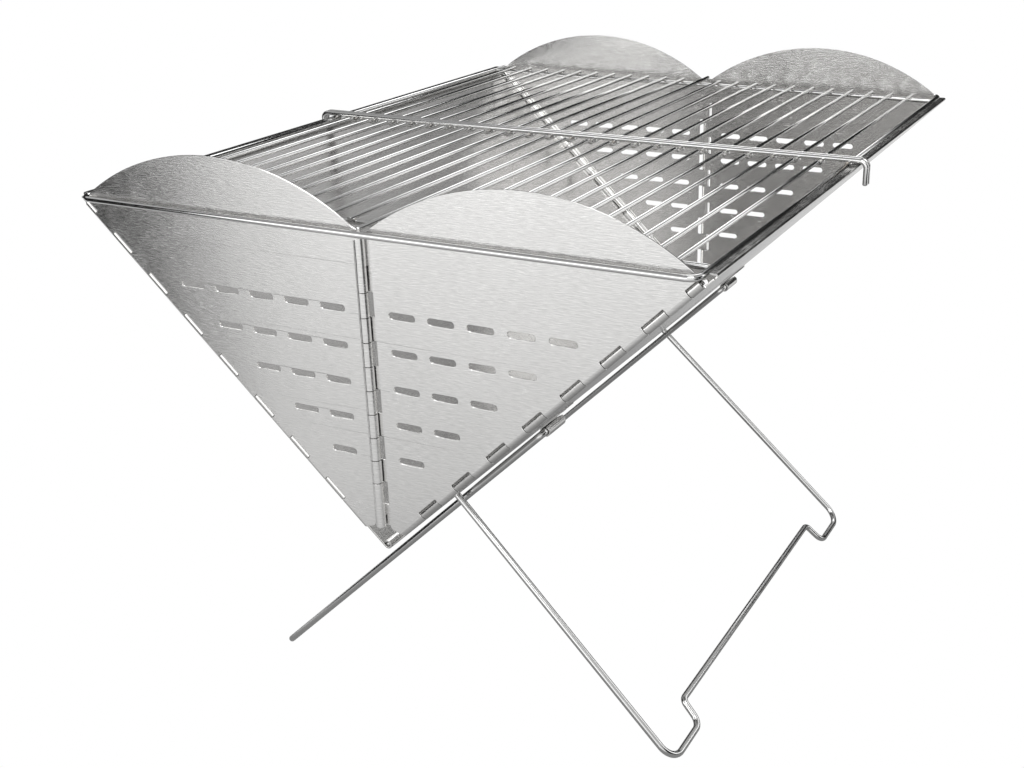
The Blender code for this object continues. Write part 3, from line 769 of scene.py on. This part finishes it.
def build_outer_wire(end, body, place):
    """The wire round three sides of a grate half."""
    x, y, z, tip = FRAME_WIRE_X, FRAME_WIRE_Y, FRAME_WIRE_Z, -GRATE_GAP / 2
    bm = bmesh.new()
    corners = [(-x, tip, z), (-x, -y, z), (x, -y, z), (x, tip, z)]
    path = filleted(corners, (FRAME_BEND, FRAME_BEND), steps=14)
    sweep_tube(bm, path, FRAME_WIRE_RADIUS, sides=24)
    add_piece(f"{end}_grate_outer_wire", to_mesh(bm), WIRE_STEEL, body,
              [f"{end}_grate_frame_wire"], place, degrees=WIRE_CREASE)


def build_hook_rod(end, body, place):
    """The rod where the two halves meet, hooked down past the flanges at its ends."""
    x, y, z = HOOK_X, -MIDDLE_ROD_Y, MIDDLE_ROD_RADIUS + FIT
    bm = bmesh.new()
    corners = [(-x, y, -HOOK_DROP), (-x, y, z), (x, y, z), (x, y, -HOOK_DROP)]
    path = filleted(corners, (HOOK_BEND, HOOK_BEND), steps=12)
    sweep_tube(bm, path, MIDDLE_ROD_RADIUS, sides=24, dome=0.5)
    add_piece(f"{end}_grate_hook_rod", to_mesh(bm), ROD_STEEL, body,
              [f"{end}_grate_middle_rod"], place, degrees=WIRE_CREASE)


def build_cross_rod(end, body, place):
    """The rod under the bars' outer ends. The CAD has it in the same node as the bars."""
    x, y, z = CROSS_ROD_X, -CROSS_ROD_Y, FRAME_WIRE_Z
    bm = bmesh.new()
    sweep_tube(bm, [(-x, y, z), (0, y, z), (x, y, z)], CROSS_ROD_RADIUS)
    add_piece(f"{end}_grate_cross_rod", to_mesh(bm), ROD_STEEL, body, [], place,
              degrees=WIRE_CREASE)


def build_bars(end, body, place):
    """The bars, cranked down to pass under the hook rod, and the weld beads of the grate half."""
    z = FRAME_WIRE_Z + CROSS_ROD_RADIUS + BAR_RADIUS - WELD_DEPTH
    under = -BAR_RADIUS
    bars, beads = bmesh.new(), bmesh.new()
    for i in range(-BARS_PER_SIDE, BARS_PER_SIDE + 1):
        x = i * BAR_PITCH
        tip_y = FRAME_WIRE_Y - FRAME_WIRE_RADIUS + BAR_OVERLAP if i == 0 else BAR_TIP_Y
        corners = [(x, -tip_y, z), (x, -BAR_CRANK_START, z), (x, -BAR_CRANK_END, under),
                   (x, -GRATE_GAP / 2, under)]
        path = filleted(corners, (BAR_CRANK_BEND, BAR_CRANK_BEND), steps=6)
        sweep_tube(bars, path, BAR_RADIUS, sides=18, dome=0.3)
        blob(beads, (x, -CROSS_ROD_Y, z - BAR_BEAD_DROP), BAR_BEAD, i + BAR_BEAD_SEED)
        blob(beads, (x, -MIDDLE_ROD_Y, HOOK_BEAD_Z), HOOK_BEAD, i + HOOK_BEAD_SEED)
    for side in (-1, 1):
        blob(beads, (side * CROSS_ROD_X, -CROSS_ROD_Y, FRAME_WIRE_Z), ROD_END_BEAD, side + ROD_END_BEAD_SEED)
        blob(beads, (side * FRAME_WIRE_X, -MIDDLE_ROD_Y, WIRE_END_BEAD_Z), WIRE_END_BEAD,
             side + WIRE_END_BEAD_SEED)
    blob(beads, (0, -FRAME_WIRE_Y + FRAME_WIRE_RADIUS, MIDDLE_BAR_BEAD_Z), MIDDLE_BAR_BEAD,
         MIDDLE_BAR_BEAD_SEED)
    add_piece(f"{end}_grate_wires", to_mesh(bars), WIRE_STEEL, body,
              [f"{end}_grate_bars"], place, degrees=WIRE_CREASE)
    add_piece(f"{end}_grate_weld_beads", to_mesh(beads), WELD_STEEL, body, [], place,
              degrees=BEAD_CREASE)


def build_grate():
    """The front half, and the same one turned for the rear."""
    for end, turn in (("front", UNTURNED), ("rear", HALF_TURN)):
        place = turn @ Matrix.Translation((0, 0, RIM_Z))
        for build in (build_outer_wire, build_hook_rod, build_cross_rod, build_bars):
            build(end, f"{end}_grate", place)


# ---- legs ---------------------------------------------------------------------------------------------

def leg_points(pivot, centre, half_span, flare, foot_width):
    """The leg's wire in its own plane: x along the pivot, y from the pivot to the feet."""
    foot = LEG_REACH + pivot
    bar = foot - FOOT_RISE
    wide = half_span + flare
    barrel = BRACKET_WIDTH + BARREL_SPARE
    corners = [
        (centre - half_span + barrel, 0), (centre - half_span, 0), (centre - wide, foot),
        (centre - wide + foot_width, foot), (centre - wide + foot_width + FOOT_LEAN, bar),
        (centre + wide - foot_width - FOOT_LEAN, bar), (centre + wide - foot_width, foot),
        (centre + wide, foot), (centre + half_span, 0), (centre + half_span + barrel, 0)]
    return filleted([(x, y, 0) for x, y in corners], LEG_BENDS + LEG_BENDS[::-1], steps=14)


def bracket_mesh():
    """A strap rolled round the leg's wire, with a spot-welded tab. x is up the slope, y is outwards."""
    inner = BRACKET_INNER_RADIUS
    outer = inner + BRACKET_SHEET
    start = -math.pi / 2
    end = start - BRACKET_ROLL
    outline = [(BRACKET_TAB, -outer)] + arc((0, 0), outer, start, end, BRACKET_STEPS)
    outline += arc((0, 0), inner, end, start, BRACKET_STEPS) + [(BRACKET_TAB, -inner)]
    return to_mesh(plain_plate(outline, BRACKET_WIDTH))


def build_bracket(node, matrix):
    """A strap and its two spot welds."""
    add_piece(f"{node}_strap", bracket_mesh(), STRAP_STEEL, "trough", [node], matrix,
              bevel=BRACKET_BEVEL)
    dots = bmesh.new()
    for side in (-1, 1):
        blob(dots, (SPOT_WELD_X, -BRACKET_INNER_RADIUS - SPOT_WELD_SINK, side * SPOT_WELD_REACH),
             SPOT_WELD, side + SPOT_WELD_SEED)
    add_piece(f"{node}_welds", to_mesh(dots), WELD_STEEL, "trough", [], matrix,
              degrees=BEAD_CREASE)


def build_legs():
    """Each leg, hanging down its side panel's slope, and its two brackets."""
    for name, spec, turn in (("right_leg", RIGHT_LEG, UNTURNED), ("left_leg", LEFT_LEG, HALF_TURN)):
        pivot, centre_y, half_span = spec[:3]
        panel = turn @ side_panel_frame()
        down_slope = -(panel.to_3x3() @ Vector((0, 1, 0)))
        outwards = panel.to_3x3() @ Vector((0, 0, 1))
        axis_point = panel @ Vector((0, pivot, LEG_AXIS_OFFSET))
        bm = bmesh.new()
        sweep_tube(bm, leg_points(*spec), LEG_WIRE_RADIUS, sides=28, dome=0.4)
        bm.transform(frame_matrix(axis_point, (0, 1, 0), down_slope))
        add_piece(f"{name}_bent_wire", to_mesh(bm), LEG_STEEL, f"{name}_frame", [name],
                  degrees=WIRE_CREASE)
        for place, corner in (("front", -half_span), ("rear", half_span)):
            middle_y = centre_y + corner + BRACKET_INSET + BRACKET_WIDTH / 2
            centre = Vector((axis_point.x, middle_y, axis_point.z))
            build_bracket(f"{name}_{place}_bracket", frame_matrix(centre, -down_slope, outwards))


build_end_panels()
build_side_panels()
build_pins()
build_grate()
build_legs()


# ---- stage --------------------------------------------------------------------------------------------

FLOOR_HALF = 4.0
FLOOR_FADE = 1.4
FLOOR_STRENGTH = 1.13
# the floor's glow as reflected and as light: painted shade, darker towards the grill
FLOOR_PAINTED_SHADE_LEVELS = ((0.0, 0.15), (0.25, 0.35), (0.35, 0.52), (0.5, 0.64), (0.8, 0.75), (1.0, 0.87))
AROUND_LEVELS = ((0.0, 0.02), (0.44, 0.04), (0.53, 0.6), (0.62, 0.85), (0.78, 0.5), (1.0, 0.4))
WALL_LEVELS = ((0.0, 1.0), (0.36, 1.0), (0.47, 0.25), (0.6, 0.05), (1.0, 0.0))
WALL_START, WALL_FULL, WALL_STRENGTH = -0.25, -0.6, 2.8
LEFT_START, LEFT_FULL, LEFT_LEAST = 0.35, 0.0, 0.5
CARD_TOP = 1.0
CARD_LIFT = 0.002
CARD_GLOW = 0.02
# name, place, what it points at, size and power
SOFTBOXES = (("key_softbox", (0.9, -1.1, 1.9), (0, 0, 0.25), 1.1, 14),
             ("rear_softbox", (-0.6, 1.5, 1.7), (0, 0, 0.3), 1.0, 8),
             ("right_softbox", (1.5, 1.2, 0.8), (0, 0, 0.3), 0.9, 4))
# the camera that took the photo, solved from the outline of the trough; its place is from the rim's middle
CAMERA_AZIMUTH = math.radians(25.6814)
CAMERA_ELEVATION = math.radians(23.1148)
CAMERA_ROLL = math.radians(-0.5547)
CAMERA_PLACE = (0.37234, -0.74376, 0.17426)
CAMERA_SENSOR = 36
CAMERA_LENS = 47.94
CAMERA_SHIFT = (-0.0829, 0.0243)
CAMERA_CLIP_START = 0.01


def glow(name, colour, strength):
    """A material that only gives off light."""
    material = bpy.data.materials.new(name)
    material.use_nodes = True
    nodes, links = material.node_tree.nodes, material.node_tree.links
    nodes.clear()
    emission = nodes.new("ShaderNodeEmission")
    emission.inputs["Color"].default_value = (*colour, 1)
    emission.inputs["Strength"].default_value = strength
    output = nodes.new("ShaderNodeOutputMaterial")
    links.new(emission.outputs[0], output.inputs["Surface"])
    return material


def grey_ramp(nodes, levels):
    """A ramp of greys through the given (position, level) pairs."""
    ramp = nodes.new("ShaderNodeValToRGB")
    elements = ramp.color_ramp.elements
    for element, (position, level) in zip(elements, (levels[0], levels[-1])):
        element.position, element.color = position, (level, level, level, 1)
    for position, level in levels[1:-1]:
        elements.new(position).color = (level, level, level, 1)
    return ramp


def seen_white(nodes, links, shader):
    """The shader for reflections and light, and plain white where the camera sees the surface itself."""
    white = nodes.new("ShaderNodeEmission")
    path = nodes.new("ShaderNodeLightPath")
    mix = nodes.new("ShaderNodeMixShader")
    links.new(path.outputs["Is Camera Ray"], mix.inputs[0])
    links.new(shader.outputs[0], mix.inputs[1])
    links.new(white.outputs[0], mix.inputs[2])
    return mix.outputs[0]


def floor_material():
    """White to the camera; to reflections and light it glows with painted shade, darker towards the grill, as
    under a real object.
    """
    material = bpy.data.materials.new("pale_floor_painted_shade")
    material.use_nodes = True
    nodes, links = material.node_tree.nodes, material.node_tree.links
    nodes.clear()
    coords = nodes.new("ShaderNodeTexCoord")
    distance = nodes.new("ShaderNodeVectorMath")
    distance.operation = "LENGTH"
    # painted shade: the floor's glow falls off towards the grill
    ramp = grey_ramp(nodes, FLOOR_PAINTED_SHADE_LEVELS)
    glowing = nodes.new("ShaderNodeEmission")
    glowing.inputs["Strength"].default_value = FLOOR_STRENGTH
    scaled = nodes.new("ShaderNodeMapRange")
    scaled.inputs["From Max"].default_value = FLOOR_FADE
    output = nodes.new("ShaderNodeOutputMaterial")
    links.new(coords.outputs["Object"], distance.inputs[0])
    links.new(distance.outputs["Value"], scaled.inputs["Value"])
    links.new(scaled.outputs["Result"], ramp.inputs["Fac"])
    links.new(ramp.outputs["Color"], glowing.inputs["Color"])
    links.new(seen_white(nodes, links, glowing), output.inputs["Surface"])
    return material


def card(name, corners, material, unseen=False):
    """One flat face of the stage."""
    mesh = bpy.data.meshes.new(name)
    mesh.from_pydata(corners, [], [tuple(range(len(corners)))])
    mesh.materials.append(material)
    obj = bpy.data.objects.new(name, mesh)
    bpy.context.scene.collection.objects.link(obj)
    obj.visible_camera = not unseen


card("floor", [(-FLOOR_HALF, -FLOOR_HALF, 0), (FLOOR_HALF, -FLOOR_HALF, 0), (FLOOR_HALF, FLOOR_HALF, 0),
               (-FLOOR_HALF, FLOOR_HALF, 0)], floor_material())
# what the end panels, the toes and the right side reflect as dark, where the floor would be too bright
DARK_CARD = glow("dark_card", (1, 1, 1), CARD_GLOW)
card("left_dark_card", [(-0.552, -0.722, CARD_LIFT), (-1.6, -0.55, CARD_LIFT), (-1.6, -0.55, CARD_TOP),
                        (-0.552, -0.722, CARD_TOP)], DARK_CARD, unseen=True)
card("left_dark_sheet", [(-0.286, -0.43, CARD_LIFT), (-2.5, -0.43, CARD_LIFT), (-2.5, -2.0, CARD_LIFT),
                         (-1.717, -2.0, CARD_LIFT)], DARK_CARD, unseen=True)
card("right_dark_sheet", [(0.5, -0.4, CARD_LIFT), (2.2, -1.5, CARD_LIFT), (2.5, -0.5, CARD_LIFT),
                          (2.5, 0.5, CARD_LIFT), (0.6, 0.1, CARD_LIFT)], DARK_CARD, unseen=True)


def build_world():
    """A dark studio: a glow overhead and behind and a low bright wall in front of the grill."""
    world = bpy.data.worlds.new("studio")
    bpy.context.scene.world = world
    world.use_nodes = True
    nodes, links = world.node_tree.nodes, world.node_tree.links
    nodes.clear()
    coords = nodes.new("ShaderNodeTexCoord")
    split = nodes.new("ShaderNodeSeparateXYZ")
    around = grey_ramp(nodes, AROUND_LEVELS)
    wall = grey_ramp(nodes, WALL_LEVELS)
    facing = nodes.new("ShaderNodeMapRange")
    facing.inputs["From Min"].default_value = WALL_START
    facing.inputs["From Max"].default_value = WALL_FULL
    facing.inputs["To Max"].default_value = WALL_STRENGTH
    leftwards = nodes.new("ShaderNodeMapRange")
    leftwards.inputs["From Min"].default_value = LEFT_START
    leftwards.inputs["From Max"].default_value = LEFT_FULL
    leftwards.inputs["To Min"].default_value = LEFT_LEAST
    strength = nodes.new("ShaderNodeMath")
    strength.operation = "MULTIPLY"
    total = nodes.new("ShaderNodeMath")
    total.operation = "MULTIPLY_ADD"
    studio = nodes.new("ShaderNodeBackground")
    output = nodes.new("ShaderNodeOutputWorld")
    links.new(coords.outputs["Generated"], split.inputs[0])
    links.new(split.outputs["Z"], around.inputs["Fac"])
    links.new(split.outputs["Z"], wall.inputs["Fac"])
    links.new(split.outputs["Y"], facing.inputs["Value"])
    links.new(split.outputs["X"], leftwards.inputs["Value"])
    links.new(facing.outputs["Result"], strength.inputs[0])
    links.new(leftwards.outputs["Result"], strength.inputs[1])
    links.new(strength.outputs[0], total.inputs[0])
    links.new(wall.outputs["Color"], total.inputs[1])
    links.new(around.outputs["Color"], total.inputs[2])
    links.new(total.outputs[0], studio.inputs["Strength"])
    links.new(seen_white(nodes, links, studio), output.inputs["Surface"])


def build_lights():
    """The soft boxes, each turned towards what it lights."""
    for name, place, aim, size, energy in SOFTBOXES:
        light = bpy.data.lights.new(name, "AREA")
        light.size = size
        light.energy = energy
        obj = bpy.data.objects.new(name, light)
        obj.location = place
        obj.rotation_euler = (Vector(place) - Vector(aim)).to_track_quat("Z", "Y").to_euler()
        bpy.context.scene.collection.objects.link(obj)


def build_camera():
    """The photo's camera."""
    azimuth, elevation, roll = CAMERA_AZIMUTH, CAMERA_ELEVATION, CAMERA_ROLL
    back = Vector((math.sin(azimuth) * math.cos(elevation), -math.cos(azimuth) * math.cos(elevation),
                   math.sin(elevation)))
    right = Vector((math.cos(azimuth), math.sin(azimuth), 0))
    up = back.cross(right)
    x_axis = right * math.cos(roll) + up * math.sin(roll)
    y_axis = up * math.cos(roll) - right * math.sin(roll)
    data = bpy.data.cameras.new("camera")
    data.sensor_width = CAMERA_SENSOR
    data.lens = CAMERA_LENS
    data.shift_x, data.shift_y = CAMERA_SHIFT
    data.clip_start = CAMERA_CLIP_START
    camera = bpy.data.objects.new("camera", data)
    x, y, z = CAMERA_PLACE
    camera.matrix_world = frame_matrix((x, y, RIM_Z + z), x_axis, y_axis)
    bpy.context.scene.collection.objects.link(camera)
    bpy.context.scene.camera = camera


build_world()
build_lights()
build_camera()
bpy.context.scene.view_settings.view_transform = "Standard"
